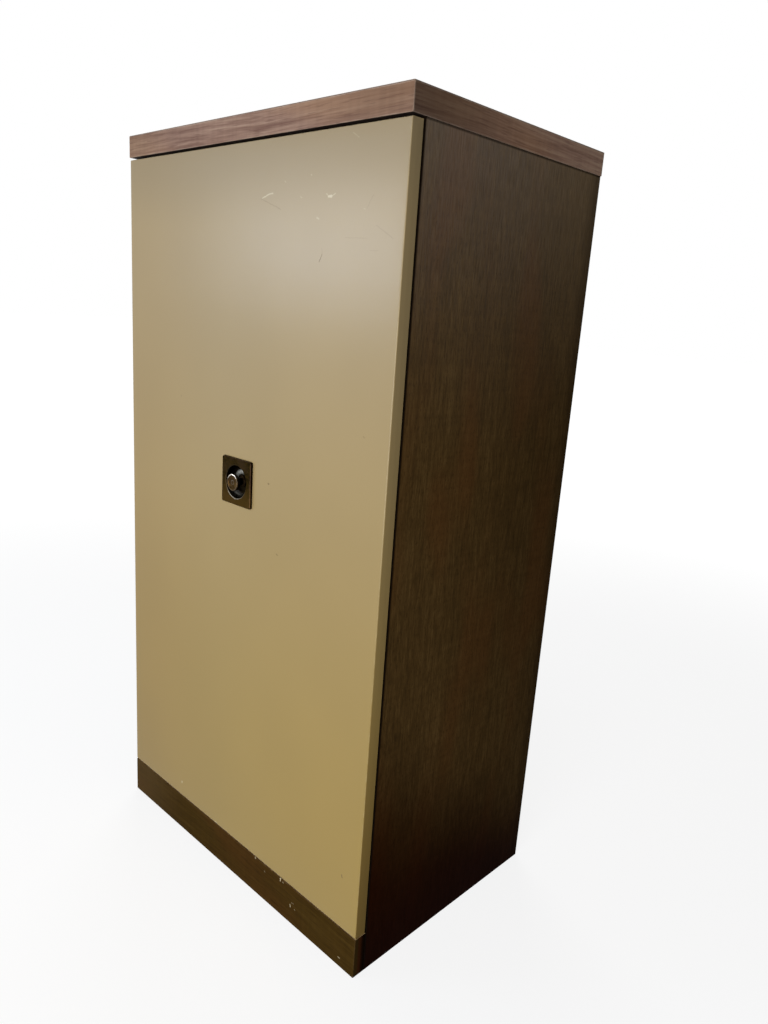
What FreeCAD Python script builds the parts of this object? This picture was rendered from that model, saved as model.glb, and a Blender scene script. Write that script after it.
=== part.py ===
import FreeCAD, Part
import os

import Sketcher

# Tall narrow cabinet with one full-height painted door on three butt hinges, a thick walnut
# slab top, dark woodgrain sides that run down to the floor, a dark plinth flush with the door
# and three adjustable shelves inside. A square bronze pull with a round cup and a turned knob
# sits in the middle of the door.
#
# Millimetres. +X is to the right seen from the front, +Y to the back and +Z up. The origin is
# on the floor under the middle of the slab.

# Driving dimensions: name, value, meaning.
SIZES = [
    ("slab_width", 610.0, "slab top, left to right"),
    ("slab_depth", 408.0, "slab top, front to back"),
    ("total_height", 1170.0, "floor to the top of the slab"),
    ("slab_thick", 32.0, "slab top with its laminate"),
    ("overhang", 1.0, "slab beyond the case and the door on every side"),
    ("board", 19.0, "case boards and shelves"),
    ("laminate", 1.2, "woodgrain laminate and edging strips"),
    ("easing", 0.6, "small bevel along exposed edges"),
    ("door_thick", 19.0, "door panel"),
    ("door_gap", 2.0, "between the back of the door and the front of the case"),
    ("top_gap", 3.5, "between the door and the slab"),
    ("foot_gap", 2.0, "between the door and the plinth"),
    ("door_edge_round", 1.6, "rounding of the door's front edges"),
    ("plinth_height", 64.0, "floor to the underside of the bottom board"),
    ("rail_depth", 60.0, "top rails, front to back"),
    ("back_thick", 4.0, "hardboard back"),
    ("rabbet_width", 9.5, "rabbet for the back in each side"),
    ("rear_rail_inset", 20.0, "rear plinth rail in from the hardboard back"),
    ("block_leg", 28.0, "legs of the three-cornered glue blocks"),
    ("block_lift", 3.0, "glue blocks above the floor"),
    ("shelf_setback", 22.0, "front of a shelf behind the front of the case"),
    ("shelf_side_gap", 1.5, "between a shelf's end and the side"),
    ("shelf_back_gap", 2.0, "between a shelf and the back"),
    ("pin_inset", 35.0, "pin holes in from a shelf's front and back edges"),
    ("pin_first", 100.0, "lowest pin hole above the bottom board"),
    ("pin_pitch", 50.0, "pin hole spacing"),
    ("pin_count", 18.0, "pin holes in a row"),
    ("pin_hole_radius", 3.0, "shelf pin hole"),
    ("pin_hole_depth", 10.0, "shelf pin hole"),
    ("pin_tongue_radius", 2.5, "the part of a pin that carries the shelf"),
    ("hinge_first", 170.0, "middle of the lowest hinge above the floor"),
    ("hinge_pitch", 430.0, "hinge spacing"),
    ("leaf_height", 64.0, "hinge leaf"),
    ("leaf_width", 19.0, "hinge leaf, from the pin's axis"),
    ("leaf_thick", 1.5, "hinge leaf"),
    ("leaf_gap", 0.4, "between the closed leaves"),
    ("leaf_corner", 2.0, "rounding of a leaf's outer corners"),
    ("barrel_radius", 3.0, "hinge barrel"),
    ("barrel_gap", 0.4, "between the barrel and the side of the case"),
    ("hinge_pin_radius", 1.5, "hinge pin"),
    ("running_gap", 0.05, "radial clearance between hinge pin and barrel"),
    ("knuckle_gap", 0.2, "between neighbouring knuckles"),
    ("relief", 0.3, "round the other leaf's knuckles"),
    ("mortise_play", 0.2, "round a leaf in its mortise"),
    ("leaf_screw_offset", 11.0, "leaf screws from the pin's axis"),
    ("leaf_screw_pitch", 22.0, "leaf screw spacing"),
    ("leaf_screw_head", 3.2, "radius of a leaf screw's head"),
    ("pull_height", 670.0, "middle of the pull above the floor"),
    ("pull_offset", 3.0, "middle of the pull right of the slab's middle"),
    ("plate_side", 70.0, "square pull plate"),
    ("plate_thick", 4.5, "pull plate"),
    ("plate_corner", 3.0, "rounding of the plate's corners"),
    ("plate_chamfer", 0.9, "chamfer round the plate's face"),
    ("cup_radius", 25.0, "mouth of the cup"),
    ("cup_floor_radius", 21.0, "where the cup's wall would meet its floor"),
    ("cup_depth", 12.0, "cup below the face of the plate"),
    ("cup_bowl", 8.0, "rounding between the cup's wall and floor"),
    ("cup_lip", 1.4, "rounding of the cup's mouth"),
    ("cup_wall", 1.2, "thickness of the cup"),
    ("cup_play", 0.5, "round the cup in its hole in the door"),
    ("knob_radius", 12.5, "knob head"),
    ("knob_stand", 11.0, "face of the knob in front of the door"),
    ("knob_head", 6.0, "thickness of the knob head"),
    ("knob_rim", 2.0, "flat ring round the knob's dished face"),
    ("knob_dish", 0.9, "depth of the knob's dished face"),
    ("neck_radius", 6.0, "knob neck"),
    ("knob_foot_radius", 9.0, "foot of the knob on the cup's floor"),
    ("pull_screw_radius", 2.0, "machine screw through the door into the knob"),
    ("pull_screw_length", 18.0, "machine screw below its head"),
    ("washer_radius", 5.0, "washer under the machine screw's head"),
    ("washer_thick", 0.8, "washer under the machine screw's head"),
    ("catch_width", 46.0, "magnetic catch"),
    ("catch_depth", 15.0, "magnetic catch"),
    ("catch_height", 13.0, "magnetic catch"),
    ("catch_inset", 30.0, "magnetic catch in from the right side"),
    ("catch_ear", 5.0, "catch screws out from the magnet"),
    ("pack_width", 26.0, "magnet and its two pole plates"),
    ("magnet_thick", 6.0, "magnet"),
    ("pole_thick", 1.5, "pole plate"),
    ("pole_stand", 0.8, "pole plates in front of the housing"),
    ("strike_width", 38.0, "strike plate on the door"),
    ("strike_height", 12.0, "strike plate on the door"),
    ("strike_thick", 1.5, "strike plate on the door"),
    ("bumper_radius", 5.0, "soft stop for the closed door"),
    ("bumper_play", 0.1, "between a soft stop and the closed door"),
]

KNUCKLES = 5
CASE_KNUCKLES = (0, 2, 4)
DOOR_KNUCKLES = (1, 3)
HINGES = ("lower", "middle", "upper")
LEAF_SCREW_ROWS = (-1, 0, 1)
SHELF_STEPS = {"lower_shelf": 3, "middle_shelf": 8, "upper_shelf": 13}
SIDES = {"left": -1, "right": 1}

DOWN = FreeCAD.Vector(0, 0, -1)
UP = FreeCAD.Vector(0, 0, 1)
BACKWARD = FreeCAD.Vector(0, 1, 0)
FORWARD = FreeCAD.Vector(0, -1, 0)
RIGHTWARD = FreeCAD.Vector(1, 0, 0)

doc = FreeCAD.newDocument("NarrowCabinet")
parts = []


class Size:
    """A length that knows its value in millimetres and the sheet expression that gives it."""

    def __init__(self, value, text):
        self.value = value
        self.text = text

    def __add__(self, other):
        other = as_size(other)
        return Size(self.value + other.value, f"({self.text} + {other.text})")

    def __radd__(self, other):
        return as_size(other) + self

    def __sub__(self, other):
        other = as_size(other)
        return Size(self.value - other.value, f"({self.text} - {other.text})")

    def __rsub__(self, other):
        return as_size(other) - self

    def __mul__(self, other):
        other = as_size(other)
        return Size(self.value * other.value, f"({self.text} * {other.text})")

    def __rmul__(self, other):
        return as_size(other) * self

    def __truediv__(self, other):
        other = as_size(other)
        return Size(self.value / other.value, f"({self.text} / {other.text})")

    def __neg__(self):
        return Size(-self.value, f"(0 - {self.text})")


def as_size(number):
    """The number itself if it is a Size, or a Size that holds a plain number."""
    if isinstance(number, Size):
        return number
    if number < 0:
        return Size(float(number), f"(0 - {-float(number)})")
    return Size(float(number), str(float(number)))


def vector(x, y, z):
    """A vector in millimetres from three Sizes or numbers."""
    return FreeCAD.Vector(as_size(x).value, as_size(y).value, as_size(z).value)


def make_sheet():
    """Writes the driving dimensions to the spreadsheet and returns them as named Sizes."""
    sheet = doc.addObject("Spreadsheet::Sheet", "Sizes")
    named = {}
    for row, (name, value, meaning) in enumerate(SIZES, start=1):
        sheet.set(f"A{row}", meaning)
        sheet.set(f"B{row}", str(value))
        sheet.setAlias(f"B{row}", name)
        named[name] = Size(value, f"Sizes.{name}")
    doc.recompute()
    return named


S = make_sheet()

# Planes and levels that several pieces share.
half_width = S["slab_width"] / 2
half_depth = S["slab_depth"] / 2
case_half = half_width - S["overhang"]
inner_half = case_half - S["board"]
door_face = S["overhang"] - half_depth
door_back = door_face + S["door_thick"]
case_front = door_back + S["door_gap"]
case_back = half_depth - S["overhang"]
back_face = case_back - S["back_thick"]
slab_under = S["total_height"] - S["slab_thick"]
door_bottom = S["plinth_height"] + S["foot_gap"]
door_height = slab_under - S["top_gap"] - door_bottom
floor_top = S["plinth_height"] + S["board"]
rail_under = slab_under - S["board"]
plinth_rail_back = back_face - S["rear_rail_inset"]
plinth_rail_front = plinth_rail_back - S["board"]
shelf_front = case_front + S["shelf_setback"]
shelf_back = back_face - S["shelf_back_gap"]
shelf_half = inner_half - S["shelf_side_gap"]
pin_rows = (shelf_front + S["pin_inset"], shelf_back - S["pin_inset"])
first_pin = floor_top + S["pin_first"]
hinge_x = -case_half - S["barrel_radius"] - S["barrel_gap"]
hinge_y = door_back + S["door_gap"] / 2
leaf_far = S["leaf_gap"] / 2 + S["leaf_thick"]
mortise_depth = leaf_far - S["door_gap"] / 2
mortise_width = hinge_x + S["leaf_width"] + S["mortise_play"] + case_half
mortise_height = S["leaf_height"] + S["mortise_play"] * 2
plate_front = -S["plate_thick"]
cup_floor = S["cup_depth"] - S["plate_thick"]
pull_hole = S["pull_screw_radius"] + 0.3


# Naming, placing and plain boards.
def register(item, name):
    """Gives a finished sub-part its label and puts it on the list that is written out."""
    item.Label = name
    parts.append(item)
    return item


def place(item, x=0.0, y=0.0, z=0.0):
    """Binds an object's place to the sheet."""
    for axis, size in zip("xyz", (x, y, z)):
        item.setExpression(f"Placement.Base.{axis}", as_size(size).text)


def board(name, low, high):
    """A plain rectangular board between two opposite corners."""
    box = doc.addObject("Part::Box", name)
    for side, a, b in zip(("Length", "Width", "Height"), low, high):
        box.setExpression(side, (as_size(b) - a).text)
    place(box, *low)
    return register(box, name)


def eased_board(name, low, high, outer):
    """A board whose edges between its outer faces have a small bevel. outer names those faces
    by axis and end, such as X- for the left one."""
    body = new_body(name)
    spans = [as_size(b) - a for a, b in zip(low, high)]
    profile = rectangle(sketch_on(body, "XY_Plane"), 0, 0, spans[0], spans[1])
    pad(body, profile, spans[2])
    ease(body, outer, dict(zip("XYZ", spans)))
    place(body, *low)
    return register(body, name)


def ease(body, outer, spans):
    """Bevels each edge that two of the outer faces share."""
    levels = []
    for name in outer:
        axis = name[0]
        levels.append((axis, spans[axis].value if name.endswith("+") else 0.0))

    def exposed(edge):
        return sum(lies_at(edge, axis, level) for axis, level in levels) >= 2

    dress(body, "Chamfer", S["easing"], exposed)


# Sketches.
def new_body(name):
    return doc.addObject("PartDesign::Body", name)


def sketch_on(body, role, lift=None):
    """A sketch on one of the body's own origin planes, lifted along the plane's normal."""
    sketch = body.newObject("Sketcher::SketchObject", "Sketch")
    plane = [f for f in body.Origin.OriginFeatures if f.Role == role][0]
    sketch.AttachmentSupport = [(plane, "")]
    sketch.MapMode = "FlatFace"
    if lift is not None:
        sketch.setExpression("AttachmentOffset.Base.z", as_size(lift).text)
    return sketch


def tie_point(sketch, geometry, which, x, y):
    """Ties one point of a sketch to the sheet, by its distances from the sketch's origin."""
    for size, kind, axis in ((x, "DistanceX", -2), (y, "DistanceY", -1)):
        size = as_size(size)
        if size.value == 0:
            sketch.addConstraint(Sketcher.Constraint("PointOnObject", geometry, which, axis))
            continue
        tie = Sketcher.Constraint(kind, -1, 1, geometry, which, size.value)
        index = sketch.addConstraint(tie)
        sketch.setExpression(f"Constraints[{index}]", size.text)


def outline(sketch, points):
    """Adds a closed outline of straight lines through points given as Sizes or numbers."""
    corners = [vector(x, y, 0) for x, y in points]
    first = sketch.GeometryCount
    count = len(points)
    for i in range(count):
        sketch.addGeometry(Part.LineSegment(corners[i], corners[(i + 1) % count]))
    for i in range(count):
        following = first + (i + 1) % count
        sketch.addConstraint(Sketcher.Constraint("Coincident", first + i, 2, following, 1))
    for i, (x, y) in enumerate(points):
        tie_point(sketch, first + i, 1, x, y)
    return sketch


def rectangle(sketch, x0, y0, x1, y1):
    return outline(sketch, [(x0, y0), (x1, y0), (x1, y1), (x0, y1)])


def circle(sketch, x, y, radius):
    radius = as_size(radius)
    index = sketch.addGeometry(Part.Circle(vector(x, y, 0), UP, radius.value))
    tie = sketch.addConstraint(Sketcher.Constraint("Radius", index, radius.value))
    sketch.setExpression(f"Constraints[{tie}]", radius.text)
    tie_point(sketch, index, 3, x, y)
    return sketch


# Features.
def pad(body, sketch, length, reverse=False, both_ways=False):
    feature = body.newObject("PartDesign::Pad", "Pad")
    feature.Profile = sketch
    feature.setExpression("Length", as_size(length).text)
    feature.Reversed = reverse
    feature.Midplane = both_ways
    doc.recompute()
    return feature


def expect_less(body, volume):
    """Stops if the last feature of a body took nothing away."""
    doc.recompute()
    if body.Shape.Volume >= volume:
        raise RuntimeError(f"the last cut in {body.Name} takes nothing away")


def pocket(body, sketch, depth=None, reverse=False, both_ways=False, taper=0.0):
    """Cuts a sketch out of a body, right through where no depth is given."""
    volume = body.Shape.Volume
    feature = body.newObject("PartDesign::Pocket", "Pocket")
    feature.Profile = sketch
    if depth is None:
        feature.Type = "ThroughAll"
    else:
        feature.setExpression("Length", as_size(depth).text)
    feature.Reversed = reverse
    feature.Midplane = both_ways
    feature.TaperAngle = taper
    expect_less(body, volume)
    return feature


def repeat(body, feature, sketch, axis, pitch, count):
    """Repeats a pocket along one axis of its sketch."""
    pattern = body.newObject("PartDesign::LinearPattern", "LinearPattern")
    pattern.Originals = [feature]
    pattern.Direction = (sketch, [axis])
    pattern.setExpression("Length", (as_size(pitch) * (as_size(count) - 1)).text)
    pattern.setExpression("Occurrences", as_size(count).text)
    body.Tip = pattern
    doc.recompute()


def spin(body, kind, points, plane):
    """A Revolution or Groove of an outline about the vertical axis of its sketch."""
    feature = body.newObject(f"PartDesign::{kind}", kind)
    sketch = outline(sketch_on(body, plane), points)
    feature.Profile = sketch
    feature.ReferenceAxis = (sketch, ["V_Axis"])
    feature.Angle = 360
    doc.recompute()


def revolve(body, points, plane="XY_Plane"):
    spin(body, "Revolution", points, plane)


def hollow(body, points, plane="XY_Plane"):
    volume = body.Shape.Volume
    spin(body, "Groove", points, plane)
    expect_less(body, volume)


def dress(body, kind, size, wanted):
    """Rounds or bevels the edges that the test picks. kind is Fillet or Chamfer."""
    tip = body.Tip
    chosen = [f"Edge{i}" for i, e in enumerate(tip.Shape.Edges, start=1) if wanted(e)]
    if not chosen:
        raise RuntimeError(f"no edge to dress in {body.Name}")
    feature = body.newObject(f"PartDesign::{kind}", kind)
    feature.Base = (tip, chosen)
    feature.setExpression("Radius" if kind == "Fillet" else "Size", as_size(size).text)
    doc.recompute()


def lies_at(edge, axis, level):
    """True if an edge lies wholly in the plane where that axis has that value."""
    box = edge.BoundBox
    low = getattr(box, axis + "Min")
    high = getattr(box, axis + "Max")
    return abs(low - level) < 1e-4 and abs(high - level) < 1e-4


def is_ring(edge, radius, y):
    """True for a circle of that radius round the Y axis, at that place along it."""
    if not isinstance(edge.Curve, Part.Circle):
        return False
    return abs(edge.Curve.Radius - radius.value) < 1e-4 and lies_at(edge, "Y", y.value)


# Fasteners. Each stands on its point about Z, and its head bears at z = 0.
def turned(points):
    """A solid of revolution about Z from an outline of radius and height pairs."""
    corners = [FreeCAD.Vector(r, 0, z) for r, z in points]
    face = Part.Face(Part.makePolygon(corners + corners[:1]))
    return face.revolve(FreeCAD.Vector(0, 0, 0), UP, 360)


def slotted(screw, radius, top, width=0.9, depth=0.8):
    """Cuts a screwdriver slot across the top of a screw head."""
    cutter = Part.makeBox(2 * radius + 1, width, depth + 1)
    cutter.translate(FreeCAD.Vector(-radius - 0.5, -width / 2, top - depth))
    return screw.cut(cutter)


def flat_head_screw(head, shank, length):
    """Countersunk wood screw, its flat face at z = 0."""
    cone = head - shank
    point = 2.5 * shank
    points = [(0, 0), (head, 0), (shank, -cone), (shank, point - length), (0, -length)]
    return slotted(turned(points), head, 0.0)


def pan_head_screw(head, head_height, shank, length):
    """Screw whose head bears at z = 0 and stands above it."""
    point = 2.5 * shank
    points = [(0, head_height), (0.7 * head, head_height), (head, 0.6 * head_height)]
    points += [(head, 0), (shank, 0), (shank, point - length), (0, -length)]
    return slotted(turned(points), head, head_height)


def nail(head, head_height, shank, length):
    points = [(0, head_height), (head, head_height), (head, 0), (shank, 0)]
    points += [(shank, 2 * shank - length), (0, -length)]
    return turned(points)


def dowel(radius, length, bevel=1.0):
    """Plain dowel with bevelled ends, its middle at the origin."""
    half = length / 2
    points = [(0, -half), (radius - bevel, -half), (radius, bevel - half)]
    points += [(radius, half - bevel), (radius - bevel, half), (0, half)]
    return turned(points)


def aimed(shape, direction, x, y, z):
    """A copy of a fastener whose point looks in a direction, moved to a place."""
    copy = shape.copy()
    facing = FreeCAD.Placement(vector(x, y, z), FreeCAD.Rotation(DOWN, direction))
    copy.Placement = facing.multiply(copy.Placement)
    return copy


def block(low, high):
    """A plain block between two corners given as Sizes or numbers."""
    start = vector(*low)
    span = vector(*high) - start
    return Part.makeBox(span.x, span.y, span.z, start)


def group(name, solids):
    """Identical small pieces as one node of separate solids."""
    item = doc.addObject("Part::Feature", name)
    item.Shape = Part.makeCompound(solids)
    item.Placement = FreeCAD.Placement()
    return register(item, name)


# Slab top: chipboard core, edging on its four sides and one laminate sheet over all.
def build_slab():
    skin = S["laminate"]
    core_top = S["total_height"] - skin
    core_half_x = half_width - skin
    core_half_y = half_depth - skin
    board(
        "slab_core",
        (-core_half_x, -core_half_y, slab_under),
        (core_half_x, core_half_y, core_top),
    )
    eased_board(
        "slab_top_laminate",
        (-half_width, -half_depth, core_top),
        (half_width, half_depth, S["total_height"]),
        ("X-", "X+", "Y-", "Y+", "Z+"),
    )
    eased_board(
        "slab_front_edging",
        (-half_width, -half_depth, slab_under),
        (half_width, -core_half_y, core_top),
        ("X-", "X+", "Y-", "Z-"),
    )
    eased_board(
        "slab_rear_edging",
        (-half_width, core_half_y, slab_under),
        (half_width, half_depth, core_top),
        ("X-", "X+", "Y+", "Z-"),
    )
    eased_board(
        "slab_left_edging",
        (-half_width, -core_half_y, slab_under),
        (-core_half_x, core_half_y, core_top),
        ("X-", "Z-"),
    )
    eased_board(
        "slab_right_edging",
        (core_half_x, -core_half_y, slab_under),
        (half_width, core_half_y, core_top),
        ("X+", "Z-"),
    )


# Case sides, made with their outer face on the YZ plane: rabbeted for the back and bored with
# two rows of shelf pin holes.
def build_side(name, hand):
    """A side of the case. hand is -1 for the left side and 1 for the right."""
    body = new_body(name)
    front = case_front + S["laminate"]
    inner = -hand * S["board"]
    profile = rectangle(sketch_on(body, "YZ_Plane"), front, 0, case_back, slab_under)
    pad(body, profile, S["board"], reverse=hand > 0)

    def exposed(edge):
        outside = lies_at(edge, "X", 0.0)
        top = lies_at(edge, "Z", slab_under.value)
        return outside and (top or lies_at(edge, "Y", case_back.value))

    dress(body, "Chamfer", S["easing"], exposed)
    rabbet = sketch_on(body, "XY_Plane")
    rabbet_edge = -hand * (S["board"] - S["rabbet_width"])
    rectangle(rabbet, rabbet_edge, back_face, inner * 2, case_back * 2)
    pocket(body, rabbet, reverse=True)
    holes = sketch_on(body, "YZ_Plane", inner)
    for row in pin_rows:
        circle(holes, row, first_pin, S["pin_hole_radius"])
    lowest = pocket(body, holes, S["pin_hole_depth"], reverse=hand > 0)
    repeat(body, lowest, holes, "V_Axis", S["pin_pitch"], S["pin_count"])
    place(body, hand * case_half)
    register(body, name)


def build_side_edging(name, hand):
    """The strip on a side's front edge. The left one is let in for the hinge leaves."""
    body = new_body(name)
    skin = S["laminate"]
    profile = rectangle(sketch_on(body, "XZ_Plane"), 0, 0, -hand * S["board"], slab_under)
    pad(body, profile, skin, reverse=True)

    def outer_front(edge):
        return lies_at(edge, "X", 0.0) and lies_at(edge, "Y", 0.0)

    dress(body, "Chamfer", S["easing"], outer_front)
    if hand < 0:
        cut_mortises(body, sketch_on(body, "XZ_Plane"), 0.0, reverse=False)
    place(body, hand * case_half, case_front)
    register(body, name)


def cut_mortises(body, seats, base, reverse):
    """Lets the hinge leaves into a board whose left edge is at x = 0. base is the height of
    the board's own zero above the floor."""
    low = S["hinge_first"] - mortise_height / 2 - base
    rectangle(seats, -1, low, mortise_width, low + mortise_height)
    lowest = pocket(body, seats, mortise_depth, reverse=reverse)
    repeat(body, lowest, seats, "V_Axis", S["hinge_pitch"], len(HINGES))


# Inside of the case: bottom board, top rails, back and plinth.
def build_case_boards():
    board(
        "bottom_board",
        (-inner_half, case_front, S["plinth_height"]),
        (inner_half, back_face, floor_top),
    )
    board(
        "front_top_rail",
        (-inner_half, case_front, rail_under),
        (inner_half, case_front + S["rail_depth"], slab_under),
    )
    board(
        "rear_top_rail",
        (-inner_half, back_face - S["rail_depth"], rail_under),
        (inner_half, back_face, slab_under),
    )
    back_half = inner_half + S["rabbet_width"] - 0.25
    board(
        "back_panel",
        (-back_half, back_face, S["plinth_height"]),
        (back_half, case_back, slab_under),
    )
    board(
        "rear_plinth_rail",
        (-inner_half, plinth_rail_front, 0),
        (inner_half, plinth_rail_back, S["plinth_height"]),
    )


def build_plinth():
    """The board under the door, across both sides' front edges, with a woodgrain facing."""
    facing_back = door_face + S["laminate"]
    board(
        "plinth_board",
        (-case_half, facing_back, 0),
        (case_half, case_front, S["plinth_height"]),
    )
    eased_board(
        "plinth_facing",
        (-case_half, door_face, 0),
        (case_half, facing_back, S["plinth_height"]),
        ("X-", "X+", "Y-", "Z+"),
    )


def build_glue_blocks():
    """Three-cornered blocks under the bottom board, in the corners of the plinth."""
    leg = S["block_leg"].value
    tall = (S["plinth_height"] - S["block_lift"]).value
    blocks = []
    for hand in SIDES.values():
        for wall, inward in ((case_front, 1), (plinth_rail_front, -1)):
            corner = vector(hand * inner_half, wall, S["block_lift"])
            along_x = corner + FreeCAD.Vector(-hand * leg, 0, 0)
            along_y = corner + FreeCAD.Vector(0, inward * leg, 0)
            face = Part.Face(Part.makePolygon([corner, along_x, along_y, corner]))
            blocks.append(face.extrude(UP * tall))
    group("plinth_glue_blocks", blocks)


# Shelves and the turned pins that carry them.
def pin_level(step):
    return first_pin + S["pin_pitch"] * step


def build_shelves():
    skin = S["laminate"]
    for name, step in SHELF_STEPS.items():
        under = pin_level(step) + S["pin_tongue_radius"]
        over = under + S["board"]
        core_front = shelf_front + skin
        board(name, (-shelf_half, core_front, under), (shelf_half, shelf_back, over))
        eased_board(
            f"{name}_edging",
            (-shelf_half, shelf_front, under),
            (shelf_half, core_front, over),
            ("Y-", "Z-", "Z+"),
        )


def shelf_pin():
    """Pin whose shank fills a hole below z = 0 and whose tongue carries a shelf above it."""
    shank = S["pin_hole_radius"].value - 0.05
    tongue = S["pin_tongue_radius"].value
    deep = S["pin_hole_depth"].value - 1.0
    flange = 4.5
    flange_thick = 1.2
    reach = 9.0
    bevel = 0.6
    points = [(0, -deep), (shank - bevel, -deep), (shank, bevel - deep), (shank, 0)]
    points += [(flange, 0), (flange, flange_thick), (tongue, flange_thick)]
    points += [(tongue, reach - bevel), (tongue - bevel, reach), (0, reach)]
    return turned(points)


def build_shelf_pins():
    pin = shelf_pin()
    pins = []
    for step in SHELF_STEPS.values():
        for row in pin_rows:
            for hand in SIDES.values():
                outward = RIGHTWARD * hand
                pins.append(aimed(pin, outward, hand * inner_half, row, pin_level(step)))
    group("shelf_pins", pins)


# Door panel, made with its lower left front corner at the origin.
def build_door():
    body = new_body("door_panel")
    thick = S["door_thick"]
    profile = rectangle(sketch_on(body, "XZ_Plane"), 0, 0, case_half * 2, door_height)
    pad(body, profile, thick, reverse=True)
    dress(body, "Fillet", S["door_edge_round"], lambda edge: lies_at(edge, "Y", 0.0))
    dress(body, "Chamfer", S["easing"], lambda edge: lies_at(edge, "Y", thick.value))
    across = S["pull_offset"] + case_half
    up = S["pull_height"] - door_bottom
    seat_radius = S["cup_radius"] + S["cup_wall"] + S["cup_play"]
    seat_depth = cup_floor + S["cup_wall"] + S["cup_play"]
    pocket(body, circle(sketch_on(body, "XZ_Plane"), across, up, seat_radius), seat_depth)
    pocket(body, circle(sketch_on(body, "XZ_Plane"), across, up, pull_hole))
    cut_mortises(body, sketch_on(body, "XZ_Plane", -thick), door_bottom, reverse=True)
    place(body, -case_half, door_face, door_bottom)
    register(body, "door_panel")


# Butt hinges. A leaf is made round its pin's axis, with its plate along +X.
def build_leaf(name, side, own_knuckles, level):
    """One leaf. side is 1 if its plate lies behind the pin's axis and -1 if in front of it."""
    body = new_body(name)
    near = side * S["leaf_gap"] / 2
    far = side * leaf_far
    tall = S["leaf_height"]
    barrel = circle(sketch_on(body, "XY_Plane"), 0, 0, S["barrel_radius"])
    pad(body, barrel, tall, both_ways=True)
    plate = rectangle(sketch_on(body, "XY_Plane"), 0, near, S["leaf_width"], far)
    pad(body, plate, tall, both_ways=True)
    bore = S["hinge_pin_radius"] + S["running_gap"]
    pocket(body, circle(sketch_on(body, "XY_Plane"), 0, 0, bore), both_ways=True)
    cut_knuckles(body, own_knuckles)

    def outer_corner(edge):
        return lies_at(edge, "X", S["leaf_width"].value) and edge.BoundBox.ZLength < 1e-4

    dress(body, "Fillet", S["leaf_corner"], outer_corner)
    sinks = sketch_on(body, "XZ_Plane", -near)
    for row in LEAF_SCREW_ROWS:
        up = S["leaf_screw_pitch"] * row
        circle(sinks, S["leaf_screw_offset"], up, S["leaf_screw_head"] + 0.1)
    pocket(body, sinks, S["leaf_thick"], reverse=side < 0, taper=-45.0)
    place(body, hinge_x, hinge_y, level)
    register(body, name)


def cut_knuckles(body, own_knuckles):
    """Cuts away the stretches of a leaf's barrel that belong to the other leaf."""
    step = S["leaf_height"] / KNUCKLES
    reach = S["barrel_radius"] + S["relief"]
    gaps = sketch_on(body, "XZ_Plane")
    for number in range(KNUCKLES):
        if number not in own_knuckles:
            low = step * number - S["leaf_height"] / 2 - S["knuckle_gap"] / 2
            rectangle(gaps, -reach, low, reach, low + step + S["knuckle_gap"])
    pocket(body, gaps, both_ways=True)


def build_hinge_pin(name, level):
    """Pin with a flat round head that rests on the top knuckle."""
    body = new_body(name)
    half = S["leaf_height"] / 2
    radius = S["hinge_pin_radius"]
    bevel = 0.4
    tip = -half - 0.8
    head = 2.6
    head_top = half + 1.6
    points = [(0, tip), (radius - bevel, tip), (radius, tip + bevel), (radius, half)]
    points += [(head, half), (head, head_top), (0, head_top)]
    revolve(body, points, plane="XZ_Plane")
    dress(body, "Fillet", 0.7, lambda edge: lies_at(edge, "Z", head_top.value))
    place(body, hinge_x, hinge_y, level)
    register(body, name)


def build_hinges():
    case_screws = []
    door_screws = []
    screw = flat_head_screw(S["leaf_screw_head"].value, 1.6, 16.0)
    across = hinge_x + S["leaf_screw_offset"]
    inside = S["leaf_gap"] / 2
    for number, name in enumerate(HINGES):
        level = S["hinge_first"] + S["hinge_pitch"] * number
        build_leaf(f"{name}_hinge_case_leaf", 1, CASE_KNUCKLES, level)
        build_leaf(f"{name}_hinge_door_leaf", -1, DOOR_KNUCKLES, level)
        build_hinge_pin(f"{name}_hinge_pin", level)
        for row in LEAF_SCREW_ROWS:
            up = level + S["leaf_screw_pitch"] * row
            case_screws.append(aimed(screw, BACKWARD, across, hinge_y + inside, up))
            door_screws.append(aimed(screw, FORWARD, across, hinge_y - inside, up))
    group("hinge_screws_in_case", case_screws)
    group("hinge_screws_in_door", door_screws)


# Pull. Its pieces are made round the Y axis, with y = 0 at the face of the door.
def place_on_pull(body, name):
    place(body, S["pull_offset"], door_face, S["pull_height"])
    register(body, name)


def build_pull_plate():
    """Square plate with rounded corners and a round cup let into the door."""
    body = new_body("pull_plate")
    half = S["plate_side"] / 2
    plate = rectangle(sketch_on(body, "XZ_Plane"), -half, -half, half, half)
    pad(body, plate, S["plate_thick"])

    def corner(edge):
        return edge.BoundBox.XLength < 1e-4 and edge.BoundBox.ZLength < 1e-4

    dress(body, "Fillet", S["plate_corner"], corner)
    dress(body, "Chamfer", S["plate_chamfer"], lambda e: lies_at(e, "Y", plate_front.value))
    outer = S["cup_radius"] + S["cup_wall"]
    foot = S["cup_floor_radius"] + S["cup_wall"]
    shell_end = cup_floor + S["cup_wall"]
    inside_plate = plate_front / 2
    shell = [(0, inside_plate), (outer, inside_plate), (outer, 0), (foot, shell_end)]
    revolve(body, shell + [(0, shell_end)])
    clear = plate_front * 2
    mouth = [(0, clear), (S["cup_radius"], clear), (S["cup_radius"], plate_front)]
    hollow(body, mouth + [(S["cup_floor_radius"], cup_floor), (0, cup_floor)])
    dress(body, "Fillet", S["cup_lip"], lambda e: is_ring(e, S["cup_radius"], plate_front))
    dress(body, "Fillet", S["cup_bowl"], lambda e: is_ring(e, S["cup_floor_radius"], cup_floor))
    pocket(body, circle(sketch_on(body, "XZ_Plane"), 0, 0, pull_hole), both_ways=True)
    place_on_pull(body, "pull_plate")


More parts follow.
